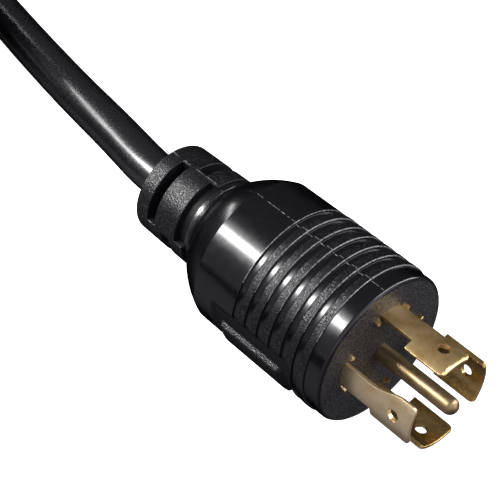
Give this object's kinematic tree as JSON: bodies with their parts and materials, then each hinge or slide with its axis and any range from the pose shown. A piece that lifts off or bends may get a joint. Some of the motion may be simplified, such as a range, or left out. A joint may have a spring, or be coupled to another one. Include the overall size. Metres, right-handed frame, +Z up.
{
  "type": "locking power cord",
  "caption": "Coiled black power cord with a moulded locking plug at one end and a matching moulded connector at the other.",
  "frame": {"origin": "on the ground, under the middle of the plug's length from the back of its strain relief to the tip of its ground pin", "axes": "+X runs out of the plug's face along its blades, +Z is up, and the cord leaves the plug towards -X"},
  "size_m": [0.4634, 0.2391, 0.0648],
  "materials": {
    "moulded_jacket": "moulded black vinyl, glossy with matte textured grips",
    "cord_jacket": "extruded black jacket, satin",
    "brass": "formed brass, satin",
    "inner_plastic": "moulded, matte",
    "insert_plastic": "moulded, fine texture",
    "wire_black": "extruded insulation",
    "wire_red": "extruded insulation",
    "wire_orange": "extruded insulation",
    "wire_white": "extruded insulation",
    "wire_green": "extruded insulation"
  },
  "bodies": {
    "root": {"plug_body": "moulded_jacket", "blade_carrier": "inner_plastic", "blade_x": "brass", "blade_y": "brass", "blade_z": "brass", "blade_neutral": "brass", "ground_pin": "brass", "plug_inner_mould": "inner_plastic", "plug_cord_end": "cord_jacket", "plug_wire_x": "wire_black", "plug_wire_y": "wire_red", "plug_wire_z": "wire_orange", "plug_wire_neutral": "wire_white", "plug_wire_ground": "wire_green", "cord_lead": "cord_jacket", "cord_coil": "cord_jacket", "cord_tail": "cord_jacket", "connector_body": "moulded_jacket", "connector_insert": "insert_plastic", "contact_x": "brass", "contact_y": "brass", "contact_z": "brass", "contact_neutral": "brass", "ground_sleeve": "brass", "connector_inner_mould": "inner_plastic", "connector_cord_end": "cord_jacket", "connector_wire_x": "wire_black", "connector_wire_y": "wire_red", "connector_wire_z": "wire_orange", "connector_wire_neutral": "wire_white", "connector_wire_ground": "wire_green"}
  },
  "joints": []
}
